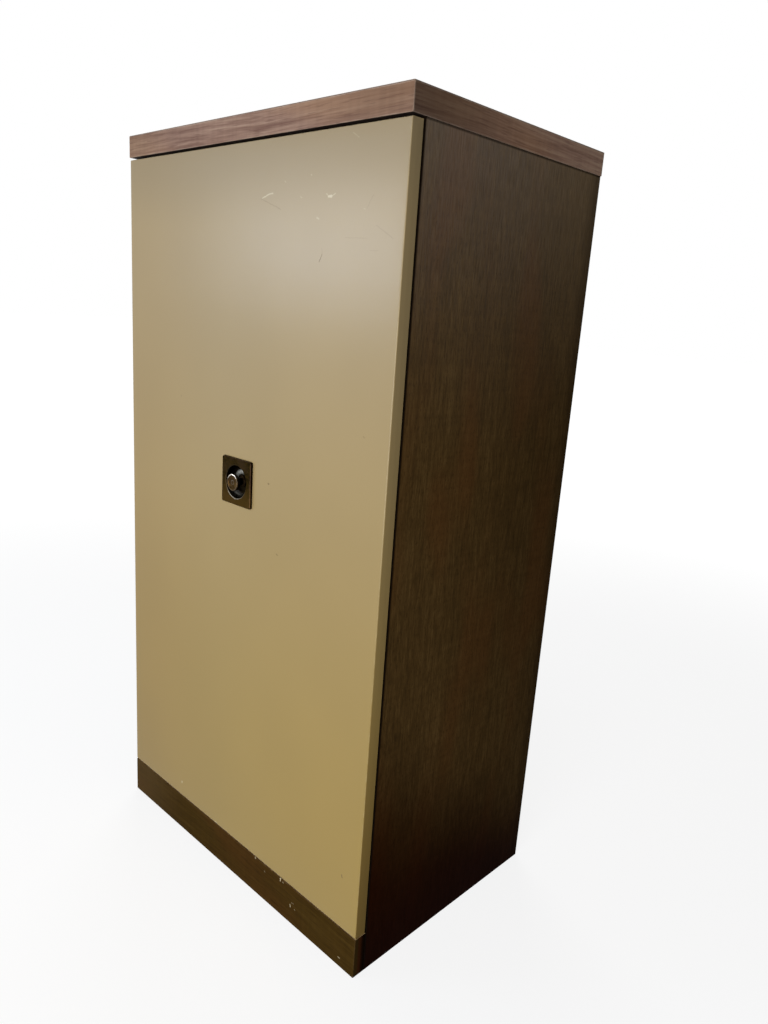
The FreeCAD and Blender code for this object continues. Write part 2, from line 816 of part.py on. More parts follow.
def build_pull_knob():
    """Round head with a dished face on a narrow neck, with a foot on the cup's floor."""
    body = new_body("pull_knob")
    face = -S["knob_stand"]
    under = face + S["knob_head"]
    dish_floor = face + S["knob_dish"]
    head = S["knob_radius"]
    dish = head - S["knob_rim"]
    neck = S["neck_radius"]
    foot = S["knob_foot_radius"]
    flare = 3.0
    foot_thick = 1.2
    points = [(0, dish_floor), (dish - 1.0, dish_floor), (dish, face), (head, face)]
    points += [(head, under), (neck, under + flare), (neck, cup_floor - flare)]
    points += [(foot, cup_floor - foot_thick), (foot, cup_floor), (0, cup_floor)]
    revolve(body, points)
    dress(body, "Fillet", 0.9, lambda edge: is_ring(edge, head, face))
    dress(body, "Fillet", 1.2, lambda edge: is_ring(edge, head, under))
    tapped = circle(sketch_on(body, "XZ_Plane", -cup_floor), 0, 0, S["pull_screw_radius"] + 0.02)
    pocket(body, tapped, 9.0, reverse=True)
    place_on_pull(body, "pull_knob")


def build_pull_fixings():
    """Machine screw and washer that hold plate and knob from inside the door."""
    washer = new_body("pull_washer")
    back = S["door_thick"]
    ring = circle(sketch_on(washer, "XZ_Plane", -back), 0, 0, S["washer_radius"])
    pad(washer, ring, S["washer_thick"], reverse=True)
    eye = S["pull_screw_radius"] + 0.2
    pocket(washer, circle(sketch_on(washer, "XZ_Plane"), 0, 0, eye), both_ways=True)
    place_on_pull(washer, "pull_washer")

    screw = new_body("pull_screw")
    shank = S["pull_screw_radius"]
    head = as_size(3.9)
    bevel = 0.4
    seat = back + S["washer_thick"]
    top = seat + 2.4
    end = seat - S["pull_screw_length"]
    points = [(0, end), (shank - bevel, end), (shank, end + bevel), (shank, seat)]
    points += [(head, seat), (head, top), (0, top)]
    revolve(screw, points)
    dress(screw, "Fillet", 1.0, lambda edge: is_ring(edge, head, top))
    slot = sketch_on(screw, "XZ_Plane", -top)
    rectangle(slot, -head - 1, -0.5, head + 1, 0.5)
    pocket(screw, slot, 1.1, reverse=True)
    place_on_pull(screw, "pull_screw")


# Magnetic catches near the door's free edge, with strike plates on the door. The pole plates
# all but touch the strike plates.
strike_face = door_back + S["strike_thick"]
pole_face = strike_face + 0.1
housing_front = pole_face + S["pole_stand"]
housing_back = housing_front + S["catch_depth"]
pack_back = housing_back - 2.5
pack_half_width = S["pack_width"] / 2
pack_half_height = S["magnet_thick"] / 2 + S["pole_thick"]
catch_across = inner_half - S["catch_inset"] - S["catch_width"] / 2


def catch_sites():
    """The height of each catch, and 1 if the board it hangs on is above it or -1 if below."""
    half = S["catch_height"] / 2
    return ((rail_under - half, 1), (floor_top + half, -1))


def catch_screw_spots(up, toward):
    """Where the two screws of a catch bear, 3 mm from the board that it is fixed to."""
    deep = (housing_front + housing_back) / 2
    seat = up + toward * (S["catch_height"] / 2 - 3.0)
    reach = pack_half_width + S["catch_ear"]
    return [(catch_across + side * reach, deep, seat) for side in (-1, 1)]


def catch_housing(up, toward):
    """Moulded housing with an open front for the magnet and a well for each screw."""
    half_wide = S["catch_width"] / 2
    half_high = S["catch_height"] / 2
    shell = block(
        (catch_across - half_wide, housing_front, up - half_high),
        (catch_across + half_wide, housing_back, up + half_high),
    )
    recess = block(
        (catch_across - pack_half_width, housing_front - 1, up - pack_half_height),
        (catch_across + pack_half_width, pack_back, up + pack_half_height),
    )
    shell = shell.cut(recess)
    for x, y, seat in catch_screw_spots(up, toward):
        open_side = up - toward * (half_high + 1)
        well_depth = abs((seat - open_side).value)
        start = vector(x, y, open_side)
        well = Part.makeCylinder(3.3, well_depth, start, UP * toward)
        through = Part.makeCylinder(1.7, well_depth + 10, start, UP * toward)
        shell = shell.cut(well).cut(through)
    return shell


def magnet_pack(up):
    """The magnet and the pole plates above and below it, as three solids."""
    left = catch_across - pack_half_width
    right = catch_across + pack_half_width
    low = up - S["magnet_thick"] / 2
    high = up + S["magnet_thick"] / 2
    magnet = block((left, housing_front + 0.4, low), (right, pack_back, high))
    upper = block((left, pole_face, high), (right, pack_back, up + pack_half_height))
    lower = block((left, pole_face, up - pack_half_height), (right, pack_back, low))
    return [magnet, upper, lower]


def strike_plate(up):
    half_wide = S["strike_width"] / 2
    half_high = S["strike_height"] / 2
    plate = block(
        (catch_across - half_wide, door_back, up - half_high),
        (catch_across + half_wide, strike_face, up + half_high),
    )
    thick = S["strike_thick"].value
    sink = Part.makeCone(1.6, 3.1, thick, vector(catch_across, door_back, up), BACKWARD)
    return plate.cut(sink)


def build_catches():
    catch_screw = pan_head_screw(2.9, 1.8, 1.5, 13.0)
    strike_screw = flat_head_screw(3.0, 1.4, 11.0)
    sites = catch_sites()
    group("catch_housings", [catch_housing(up, toward) for up, toward in sites])
    group("catch_magnet_packs", [solid for up, toward in sites for solid in magnet_pack(up)])
    screws = []
    strikes = []
    strike_screws = []
    for up, toward in sites:
        for spot in catch_screw_spots(up, toward):
            screws.append(aimed(catch_screw, UP * toward, *spot))
        strikes.append(strike_plate(up))
        strike_screws.append(aimed(strike_screw, FORWARD, catch_across, strike_face, up))
    group("catch_screws", screws)
    group("strike_plates", strikes)
    group("strike_screws", strike_screws)


def build_bumpers():
    """Soft stops on the right side's front edge, which take the closed door."""
    thick = (S["door_gap"] - S["bumper_play"]).value
    across = inner_half + S["board"] / 2
    stops = []
    for up in (door_bottom + 90.0, slab_under - 110.0):
        spot = vector(across, case_front, up)
        stops.append(Part.makeCylinder(S["bumper_radius"].value, thick, spot, FORWARD))
    group("door_bumpers", stops)


# Joinery inside the boards.
def build_case_dowels():
    """Dowels across the ends of the bottom board and the rails, and behind the plinth."""
    cross_dowel = dowel(4.0, 34.0)
    plinth_dowel = dowel(3.0, 22.0)
    reach_in = 5.0
    depth = back_face - case_front
    spots = []
    for share in (0.12, 0.5, 0.88):
        spots.append((case_front + depth * share, floor_top - S["board"] / 2))
    for inset in (22.0, 46.0):
        spots.append((case_front + inset, rail_under + S["board"] / 2))
        spots.append((back_face - inset, rail_under + S["board"] / 2))
    pegs = []
    for hand in SIDES.values():
        for along, up in spots:
            across = hand * (inner_half - reach_in)
            pegs.append(aimed(cross_dowel, RIGHTWARD, across, along, up))
        for up in (18.0, 46.0):
            across = hand * (case_half - S["board"] / 2)
            pegs.append(aimed(plinth_dowel, BACKWARD, across, case_front, up))
    group("case_dowels", pegs)


def build_slab_screws():
    """Six screws up through the top rails into the slab."""
    screw = pan_head_screw(4.2, 2.6, 2.2, 38.0)
    inset = S["rail_depth"] / 2
    screws = []
    for along in (case_front + inset, back_face - inset):
        for share in (-0.8, 0.0, 0.8):
            screws.append(aimed(screw, UP, inner_half * share, along, rail_under))
    group("slab_screws", screws)


def build_back_nails():
    """Nails round the back panel, into the sides, the bottom board and the rear rail."""
    tack = nail(2.0, 0.6, 0.8, 20.0)
    rows = 8
    columns = 3
    edge = inner_half + S["rabbet_width"] / 2
    low = floor_top - S["board"] / 2
    high = rail_under + S["board"] / 2
    nails = []
    for hand in SIDES.values():
        for row in range(rows):
            up = low + (high - low) * (row / (rows - 1))
            nails.append(aimed(tack, FORWARD, hand * edge, case_back, up))
    for up in (low, high):
        for column in range(columns):
            across = inner_half * (2 * (column + 1) / (columns + 1) - 1)
            nails.append(aimed(tack, FORWARD, across, case_back, up))
    group("back_panel_nails", nails)


def build_all():
    build_slab()
    for name, hand in SIDES.items():
        build_side(f"{name}_side", hand)
        build_side_edging(f"{name}_side_edging", hand)
    build_case_boards()
    build_plinth()
    build_glue_blocks()
    build_shelves()
    build_shelf_pins()
    build_door()
    build_hinges()
    build_pull_plate()
    build_pull_knob()
    build_pull_fixings()
    build_catches()
    build_bumpers()
    build_case_dowels()
    build_slab_screws()
    build_back_nails()


def check_and_write():
    """Stops on any failed object, then writes each sub-part under its own name."""
    doc.recompute()
    for item in doc.Objects:
        if "Invalid" in item.State or "Error" in item.State:
            raise RuntimeError(f"{item.Label} failed: {item.State}")
    for item in parts:
        shape = item.Shape
        if shape.isNull() or not shape.isValid() or not shape.Solids:
            raise RuntimeError(f"{item.Label} has no valid shape")
    os.makedirs("parts", exist_ok=True)
    for item in parts:
        item.Shape.exportStep(os.path.join("parts", item.Label + ".step"))
        box = item.Shape.BoundBox
        spans = f"{box.XLength:7.1f} {box.YLength:7.1f} {box.ZLength:7.1f}"
        print(f"{item.Label:28s}{spans}  solids {len(item.Shape.Solids)}")


build_all()
check_and_write()
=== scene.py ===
"""Looks, floor, light and camera of the narrow door cabinet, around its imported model."""
import math

import bpy
from mathutils import Matrix, Vector


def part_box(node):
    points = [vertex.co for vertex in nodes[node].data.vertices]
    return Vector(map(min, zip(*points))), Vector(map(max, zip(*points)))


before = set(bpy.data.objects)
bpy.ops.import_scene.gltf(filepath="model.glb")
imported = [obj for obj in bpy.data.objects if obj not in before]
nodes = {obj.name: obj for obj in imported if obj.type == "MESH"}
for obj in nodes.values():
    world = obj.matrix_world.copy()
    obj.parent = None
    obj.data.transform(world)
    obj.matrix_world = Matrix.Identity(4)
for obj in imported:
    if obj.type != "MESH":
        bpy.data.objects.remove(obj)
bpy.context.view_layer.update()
scene = bpy.context.scene

MM = 0.001
X, Y, Z = 0, 1, 2
FACE_ON = (1, 0, 1)

# Camera, fitted to the straight edges in the photograph
CAMERA_PLACE = Vector((0.93554, -0.8785, 0.92441))
CAMERA_RIGHT = Vector((0.71622545, 0.6946288, 0.06717097))
CAMERA_UP = Vector((-0.21738518, 0.13060463, 0.9673087))
CAMERA_LENS = 27.52
CAMERA_NEAREST = 0.01
SENSOR = 36.0

# Places on the part, in metres
SLAB_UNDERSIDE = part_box("slab_core")[0].z
SIDE_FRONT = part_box("right_side")[0].y
# The corner round which the slab's strips get painted shade
SHADED_CORNER = (0.305, -0.204, 1.154)
PULL_X, PULL_Z = 0.003, 0.670
PLATE_THICK = 4.5 * MM
CUP_RADIUS = 25 * MM
MAGNET_THICK = 6 * MM
POLE_THICK = 1.5 * MM


def srgb(red, green, blue):
    """A display colour, 0 to 255, as the linear colour that the shaders take."""
    def linear(value):
        share = value / 255
        return share / 12.92 if share <= 0.04045 else ((share + 0.055) / 1.055) ** 2.4
    return (linear(red), linear(green), linear(blue), 1.0)


def grey(value):
    return (value, value, value, 1.0)


WHITE = grey(1.0)


class Graph:
    """The node tree of one material, written as short calls."""

    # Numbers of the Mix node's colour sockets, whose names it gives to other sockets too
    MIX_SHARE, MIX_FIRST, MIX_SECOND, MIX_RESULT = 0, 6, 7, 2

    def __init__(self, name):
        self.material = bpy.data.materials.new(name)
        self.material.use_nodes = True
        self.tree = self.material.node_tree
        self.tree.nodes.clear()
        self.place = self.add("ShaderNodeTexCoord").outputs["Object"]

    def add(self, kind, **settings):
        node = self.tree.nodes.new(kind)
        for key, value in settings.items():
            setattr(node, key, value)
        return node

    def feed(self, socket, value):
        """Links another node's output to the socket, or writes a plain value on it."""
        if isinstance(value, bpy.types.NodeSocket):
            self.tree.links.new(value, socket)
        else:
            socket.default_value = value

    def add_fed(self, kind, value):
        node = self.add(kind)
        self.feed(node.inputs[0], value)
        return node

    def maths(self, operation, *values, clamp=False):
        node = self.add("ShaderNodeMath", operation=operation, use_clamp=clamp)
        for socket, value in zip(node.inputs, values):
            self.feed(socket, value)
        return node.outputs[0]

    def vector(self, operation, *values):
        node = self.add("ShaderNodeVectorMath", operation=operation)
        for socket, value in zip(node.inputs, values):
            self.feed(socket, value)
        scalar = operation in ("DOT_PRODUCT", "LENGTH", "DISTANCE")
        return node.outputs["Value" if scalar else "Vector"]

    def scaled(self, place, factor):
        node = self.add("ShaderNodeVectorMath", operation="SCALE")
        self.feed(node.inputs[0], place)
        self.feed(node.inputs["Scale"], factor)
        return node.outputs["Vector"]

    def parts(self, place):
        return self.add_fed("ShaderNodeSeparateXYZ", place).outputs

    def noise(self, place, scale, detail=2.0, rough=0.5, bend=0.0, colour=False):
        """Noise of about 0 to 1. scale is its waves to the metre, one number or one for each axis."""
        scales = scale if isinstance(scale, tuple) else (scale,) * 3
        node = self.add("ShaderNodeTexNoise")
        self.feed(node.inputs["Vector"], self.vector("MULTIPLY", place, scales))
        node.inputs["Scale"].default_value = 1.0
        node.inputs["Detail"].default_value = detail
        node.inputs["Roughness"].default_value = rough
        node.inputs["Distortion"].default_value = bend
        return node.outputs["Color" if colour else "Fac"]

    def cells(self, place, scale):
        """Distance from the middle of the nearest cell, with about scale cells to the metre."""
        node = self.add("ShaderNodeTexVoronoi", feature="F1")
        self.feed(node.inputs["Vector"], place)
        node.inputs["Scale"].default_value = scale
        return node.outputs["Distance"]

    def wave(self, value, pitch):
        return self.maths("SINE", self.maths("MULTIPLY", value, math.tau / pitch))

    def shaken(self, value, noise, reach):
        """The value moved by noise, by up to half of reach either way."""
        return self.maths("MULTIPLY_ADD", self.maths("SUBTRACT", noise, 0.5), reach, value)

    def span(self, value, low, high, to_low=0.0, to_high=1.0, smooth=True):
        """Maps the stretch from low to high onto to_low..to_high, held beyond its ends."""
        kind = "SMOOTHSTEP" if smooth else "LINEAR"
        node = self.add("ShaderNodeMapRange", interpolation_type=kind)
        for socket, number in zip(node.inputs, (value, low, high, to_low, to_high)):
            self.feed(socket, number)
        return node.outputs[0]

    def vary(self, noise, to_low, to_high):
        """Spreads a noise, which lies mostly from 0.3 to 0.7, over to_low..to_high."""
        return self.span(noise, 0.3, 0.7, to_low, to_high)

    def ramp(self, value, *stops):
        node = self.add_fed("ShaderNodeValToRGB", value)
        ramp = node.color_ramp
        while len(ramp.elements) < len(stops):
            ramp.elements.new(0.5)
        for element, (position, colour) in zip(ramp.elements, stops):
            element.position = position
            element.color = colour
        return node.outputs["Color"]

    def mix(self, share, first, second, mode="MIX"):
        """Blends two colours. share is how much the second one counts."""
        node = self.add("ShaderNodeMix", data_type="RGBA", blend_type=mode)
        self.feed(node.inputs[self.MIX_SHARE], share)
        self.feed(node.inputs[self.MIX_FIRST], first)
        self.feed(node.inputs[self.MIX_SECOND], second)
        return node.outputs[self.MIX_RESULT]

    def times(self, colour, tone):
        """The colour multiplied by a tone, which may be a colour or a number."""
        return self.mix(1.0, colour, tone, mode="MULTIPLY")

    def fading(self, value, low, high, tone):
        """A tone to multiply by, which fades out as value goes from low to high."""
        return self.mix(self.span(value, low, high), tone, WHITE)

    def largest(self, values):
        total = values[0]
        for value in values[1:]:
            total = self.maths("MAXIMUM", total, value)
        return total

    def edge_gap(self, low, high):
        """Distance to the nearest edge of a box, for a point on its surface."""
        middle = (Vector(low) + Vector(high)) / 2
        half = (Vector(high) - Vector(low)) / 2
        out = self.vector("ABSOLUTE", self.vector("SUBTRACT", self.place, middle))
        a, b, c = self.parts(self.vector("SUBTRACT", half, out))
        shorter = self.maths("MINIMUM", a, b)
        longer = self.maths("MAXIMUM", a, b)
        return self.maths("MAXIMUM", shorter, self.maths("MINIMUM", longer, c))

    def surface(self, colour, rough, height, depth, **sockets):
        """Ends the tree in one shader. depth is how far the bump's height of 1 stands out."""
        shader = self.add("ShaderNodeBsdfPrincipled")
        self.feed(shader.inputs["Base Color"], colour)
        self.feed(shader.inputs["Roughness"], rough)
        for name, value in sockets.items():
            self.feed(shader.inputs[name.replace("_", " ")], value)
        bump = self.add("ShaderNodeBump")
        bump.inputs["Strength"].default_value = 1.0
        bump.inputs["Distance"].default_value = depth
        self.feed(bump.inputs["Height"], height)
        self.tree.links.new(bump.outputs["Normal"], shader.inputs["Normal"])
        end = self.add("ShaderNodeOutputMaterial")
        self.tree.links.new(shader.outputs[0], end.inputs["Surface"])
        return self.material


def stretched(axis, across, along):
    """Scale of a texture drawn out along one axis."""
    scale = [across] * 3
    scale[axis] = along
    return tuple(scale)


# Woodgrain print, used on the slab, the sides and the plinth
SEED_STEP = (0.37, 0.53, 0.71)
STREAK_SWAY = 16 * MM
GRAIN_SHARES = {"fine": 0.5, "broad": 0.32, "figure": 0.18}
GRAIN_SPREAD = 0.15


def grain_layers(g, axis, seed, run):
    """Streaks, ticks, figure, ripple and tint of a printed grain, each about 0 to 1.

    run is how long the streaks are, against those on the slab.
    """
    place = g.vector("ADD", g.place, tuple(seed * step for step in SEED_STEP))
    wander = g.noise(place, stretched(axis, 6.0, 3.0), detail=1, colour=True)
    bent = g.vector("MULTIPLY_ADD", wander, stretched(axis, STREAK_SWAY, 0.0), place)
    return {
        "fine": g.noise(bent, stretched(axis, 360.0, 9.0 / run), detail=3, rough=0.65),
        "broad": g.noise(bent, stretched(axis, 170.0, 4.0 / run), detail=2),
        "ticks": g.noise(bent, stretched(axis, 520.0, 30.0 / run), detail=1),
        "figure": g.noise(bent, stretched(axis, 24.0, 2.5), detail=2, bend=0.5),
        "ripple": g.noise(place, stretched(axis, 6.0, 130.0), detail=1),
        "tint": g.noise(bent, stretched(axis, 11.0, 3.5), detail=1),
    }


def woodgrain(name, axis, tones, seed, run=1.0, gain=1.0, shine=0.12, rough=0.42, finish=None):
    """Laminate with a printed grain along one axis.

    tones holds the dark, middle and light streaks, the ticks and a warm tint. gain is the
    contrast between the streaks. finish may change the colour before it meets the shader.
    """
    dark, middle, light, tick, warm = tones
    g = Graph(name)
    layers = grain_layers(g, axis, seed, run)
    streak = g.maths("MULTIPLY", layers["fine"], GRAIN_SHARES["fine"])
    for layer in ("broad", "figure"):
        streak = g.maths("MULTIPLY_ADD", layers[layer], GRAIN_SHARES[layer], streak)
    spread = GRAIN_SPREAD / gain
    streak = g.span(streak, 0.5 - spread, 0.5 + spread, smooth=False)
    colour = g.ramp(streak, (0.0, dark), (0.5, middle), (1.0, light))
    colour = g.mix(g.span(layers["tint"], 0.46, 0.68, 0.0, 0.5), colour, warm)
    ticks = g.span(layers["ticks"], 0.56, 0.7, 0.0, 0.4)
    colour = g.mix(ticks, colour, tick)
    colour = g.times(colour, g.vary(layers["ripple"], 0.96, 1.04))
    if finish:
        colour = finish(g, colour)
    sheen = g.span(streak, 0.0, 1.0, rough + 0.06, rough - 0.04)
    height = g.maths("SUBTRACT", g.maths("MULTIPLY", streak, 0.4), ticks)
    return g.surface(colour, sheen, height, depth=0.05 * MM, Specular_IOR_Level=shine)


SLAB_TONES = (
    srgb(106, 79, 68), srgb(133, 106, 92), srgb(151, 126, 109), srgb(90, 61, 52), srgb(144, 110, 82)
)
SIDE_TONES = (
    srgb(66, 49, 26), srgb(82, 61, 32), srgb(98, 75, 42), srgb(52, 36, 16), srgb(94, 60, 30)
)
PLINTH_TONES = (
    srgb(46, 32, 11), srgb(61, 44, 15), srgb(74, 56, 23), srgb(36, 24, 8), srgb(70, 44, 18)
)


def edge_worn(node, tone, amount=0.5):
    """A finish that lightens a box-shaped piece unevenly along its edges."""
    low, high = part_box(node)

    def finish(g, colour):
        patch = g.noise(g.place, 45, detail=3)
        gap = g.shaken(g.edge_gap(low, high), patch, -2.4 * MM)
        return g.mix(g.span(gap, 0.0, 1.2 * MM, amount, 0.0), colour, tone)
    return finish


# The slab's strips get painted shade within this reach of their right front corner, in metres,
# and turn darker and less blue between these two places at their left end
CORNER_SHADE_REACH = (0.02, 0.24)
LEFT_END = (-0.3, -0.16)
LEFT_END_TONE = (0.93, 0.89, 0.76, 1.0)


def slab_edging(node, axis, seed, corner_shade=WHITE, elsewhere=WHITE):
    """Edging strip, darker and less blue at its left end.

    The first tone given is painted shade near the slab's right front corner, elsewhere the
    tone away from there, which is painted light.
    """
    wear_and_highlight = edge_worn(node, srgb(176, 156, 140))

    def finish(g, colour):
        reach = g.vector("DISTANCE", g.place, SHADED_CORNER)
        # Painted shade near the slab's right front corner, painted light further away
        colour = g.times(colour, g.mix(g.span(reach, *CORNER_SHADE_REACH), corner_shade, elsewhere))
        x = g.parts(g.place)[X]
        return wear_and_highlight(g, g.times(colour, g.fading(x, *LEFT_END, LEFT_END_TONE)))
    return woodgrain(node, axis, SLAB_TONES, seed, run=1.1, gain=1.15, shine=0.07, finish=finish)


def slab_top(node):
    """Broad figure along the slab, and the dark line of the laminate's own edge."""
    line_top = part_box(node)[0].z + 0.55 * MM

    def finish(g, colour):
        leaf = g.noise(g.place, (1.1, 9.0, 1.0), detail=2, bend=0.3)
        rings = g.maths("SINE", g.maths("MULTIPLY", leaf, 95.0))
        colour = g.mix(g.span(rings, -0.2, 1.0, 0.0, 0.42), colour, SLAB_TONES[0])
        line = g.maths("LESS_THAN", g.parts(g.place)[Z], line_top)
        return g.mix(line, colour, srgb(104, 88, 76))
    return woodgrain(node, X, SLAB_TONES, seed=3, finish=finish)


# Painted shade and a painted sheen on the sides, by height and by depth: where each change
# starts and ends, in metres, and the tones that it brings
LOW_SHADE = (0.12, 0.4)
LOW_TONE = (0.2, 0.1, 0.04, 1.0)
FOOT_SHADE = (0.02, 0.15)
FOOT_TONE = (0.62, 0.42, 0.36, 1.0)
REAR_SHADE = (-0.1, 0.2)
REAR_LINE = (0.168, 0.2)
PAINTED_SHEEN_HEIGHTS = (0.7, 1.14)
PAINTED_SHEEN_DEPTHS = (-0.05, 0.2)
PAINTED_SHEEN_FRONT = (0.106, 0.094, 0.084, 1.0)
PAINTED_SHEEN_REAR = (0.132, 0.1, 0.066, 1.0)

# The tones drift up and down by half of this height, and the low shade falls by this slant
# for each metre behind this place
DRIFT = 0.2
SLANT, SLANT_START = 0.6, -0.12


def side_finish(g, colour):
    """The sides get a painted sheen near the top, and painted shade towards the floor and the rear.

    A line of painted shade runs down the front edge, a softer one down the rear and another
    under the slab.
    """
    _, y, z = g.parts(g.place)
    level = g.shaken(z, g.noise(g.place, (1, 2.6, 1.7), detail=2), DRIFT)
    slanted = g.maths("MULTIPLY_ADD", g.maths("ADD", y, -SLANT_START), SLANT, level)
    # Painted shade: darker towards the floor, at the foot and towards the rear
    shade = g.times(g.fading(slanted, *LOW_SHADE, LOW_TONE), g.fading(z, *FOOT_SHADE, FOOT_TONE))
    shade = g.times(shade, g.span(y, *REAR_SHADE, 1.08, 0.78))
    colour = g.times(colour, shade)
    # Painted sheen: a pale, streaked veil added to the colour near the top
    painted_sheen_share = g.maths("POWER", g.span(level, *PAINTED_SHEEN_HEIGHTS, smooth=False), 2.0)
    painted_sheen = g.mix(g.span(y, *PAINTED_SHEEN_DEPTHS), PAINTED_SHEEN_FRONT, PAINTED_SHEEN_REAR)
    sheen_streaks = g.noise(g.place, stretched(Z, 480.0, 45.0), detail=2)
    painted_sheen = g.times(painted_sheen, g.vary(sheen_streaks, 0.8, 1.2))
    colour = g.mix(painted_sheen_share, colour, painted_sheen, mode="ADD")
    # Lines of painted shade down the front and rear edges and under the slab
    front_line = g.span(y, SIDE_FRONT, SIDE_FRONT + 2.6 * MM, 0.35, 1.0)
    lines = g.maths("MULTIPLY", front_line, g.span(y, *REAR_LINE, 1.0, 0.62))
    top_line = g.span(z, SLAB_UNDERSIDE - 3.5 * MM, SLAB_UNDERSIDE - 1.5 * MM, 1.0, 0.35)
    return g.times(colour, g.maths("MULTIPLY", lines, top_line))


def case_side(node, seed):
    return woodgrain(node, Z, SIDE_TONES, seed, run=0.18, shine=0.003, rough=0.5, finish=side_finish)


def shaded_edging(node):
    """The sides' front edges, coloured near-black as painted shade in the gap behind the door."""
    g = Graph(node)
    streak = g.noise(g.place, stretched(Z, 500.0, 9.0), detail=2)
    colour = g.mix(streak, srgb(14, 9, 5), srgb(26, 17, 10))
    rough = g.vary(streak, 0.45, 0.55)
    return g.surface(colour, rough, streak, depth=0.04 * MM, Specular_IOR_Level=0.005)


# Marks on the painted door and the plinth: start x and z, end x and z, half width, all in mm,
# and how strong each is
PALE_MARKS = [
    (43, 1062, 56, 1066, 1.2, 0.4),
    (56, 1066, 65, 1067, 1.5, 0.38),
    (174, 1058, 179, 1058, 2.2, 0.5),
    (170, 1061, 172, 1060, 1.1, 0.25),
    (180, 1058, 186, 1061, 1.0, 0.3),
    (121, 1060, 124, 1059, 1.2, 0.16),
    (140, 1085, 141, 1084, 1.1, 0.2),
    (154, 1034, 158, 1033, 1.4, 0.2),
    (89, 1080, 91, 1079, 1.2, 0.18),
    (237, 1042, 239, 1041, 1.1, 0.12),
    (212, 1126, 222, 1120, 0.9, 0.14),
    (-145, 93, -145, 91, 2.0, 0.6),
    (70, 66, 71, 65, 1.8, 0.6),
    (-40, 69, -37, 68, 1.5, 0.4),
]
DARK_MARKS = [
    (41, 1061, 82, 1047, 0.9, 0.25),
    (259, 1023, 287, 1008, 0.8, 0.17),
    (242, 1042, 251, 1056, 0.7, 0.17),
    (207, 1010, 245, 1009, 0.7, 0.13),
    (251, 995, 264, 995, 0.7, 0.12),
    (162, 982, 167, 991, 1.0, 0.6),
    (167, 991, 166, 998, 0.7, 0.2),
    (74, 681, 76, 681, 1.7, 0.6),
    (98, 583, 100, 582, 1.6, 0.5),
    (259, 777, 261, 776, 1.3, 0.3),
    (-153, 779, -151, 778, 1.3, 0.25),
    (269, 152, 270, 149, 1.8, 0.65),
]
PLINTH_MARKS = [
    (136, 66, 136, 60, 1.6, 1.0),
    (142, 61, 143, 60, 1.3, 0.4),
    (161, 32, 162, 29, 1.6, 0.6),
    (165, 38, 166, 37, 1.0, 0.3),
    (168, 39, 169, 38, 0.9, 0.25),
    (172, 30, 173, 29, 1.1, 0.35),
    (96, 53, 97, 52, 1.2, 0.35),
    (71, 64, 72, 62, 1.6, 0.6),
    (272, 14, 275, 14, 1.5, 0.5),
]
# A mark is at full strength over this share of its half width
MARK_CORE = 0.35


def marks(g, place, rows):
    """How far each point lies inside any of the marks, from 0 to their strength."""
    found = []
    for x0, z0, x1, z1, half_width, strength in rows:
        run = Vector((x1 - x0, 0, z1 - z0)) * MM
        offset = g.vector("SUBTRACT", place, Vector((x0, 0, z0)) * MM)
        share = g.vector("DOT_PRODUCT", offset, run / run.length_squared)
        share = g.maths("ADD", share, 0.0, clamp=True)
        gap = g.vector("DISTANCE", offset, g.scaled(run, share))
        found.append(g.span(gap, half_width * MARK_CORE * MM, half_width * MM, strength, 0.0))
    return g.largest(found)


def flattened(g, jitter):
    """The point's x and z only, shaken a little so that marks don't run dead straight."""
    noise = g.noise(g.place, (260, 0, 260), detail=2, colour=True)
    shake = g.vector("SUBTRACT", noise, (0.5, 0.5, 0.5))
    shaken = g.vector("MULTIPLY_ADD", shake, (jitter, 0, jitter), g.place)
    return g.vector("MULTIPLY", shaken, FACE_ON)


def on_ends(g, node, depth):
    """1 on the left and right ends of a piece that is centred, to this depth, and 0 elsewhere."""
    across = g.maths("ABSOLUTE", g.parts(g.place)[X])
    return g.maths("GREATER_THAN", across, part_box(node)[1].x - depth)


# The door's face rolls off a little towards its edges, and the paint's marks have this depth
ROLL_WIDTH = 17 * MM
ROLL_DROP = 0.3 * MM
PAINT_DEPTH = 0.12 * MM

# Where the door's tones start and end, in metres: heights, and from left to right. Most are
# painted light: a sheen higher up, and shade at the top, on the end faces and by the hinges
DOOR_SHEEN_HEIGHTS = (0.1, 1.05)
TOP_SHADE = (1.02, 1.13)
DARKER_FOOT = (0.05, 0.6)
END_HEIGHTS = (0.05, 0.45)
HINGE_SHADE = (-0.3, 0.0)
HINGE_TONE = (0.93, 0.88, 0.76, 1.0)


def paint_tone(g, cloud):
    """Beige paint, clouded and darker low, painted sheen higher up, painted shade at top and hinges.
    """
    x, _, z = g.parts(g.place)
    # Painted sheen: the paint turns paler and bluer going up
    paint = g.mix(g.span(z, *DOOR_SHEEN_HEIGHTS), srgb(156, 131, 70), srgb(156, 138, 104))
    # Painted shade at the top of the door, under the slab
    paint = g.mix(g.span(z, *TOP_SHADE), paint, srgb(145, 129, 100))
    # Clouded, and darker towards the floor
    cloudy_darker_foot = g.maths("MULTIPLY", g.vary(cloud, 0.97, 1.03), g.span(z, *DARKER_FOOT, 0.93, 1.0))
    # Painted shade towards the hinges, less blue there
    return g.times(g.times(paint, cloudy_darker_foot), g.fading(x, *HINGE_SHADE, HINGE_TONE))


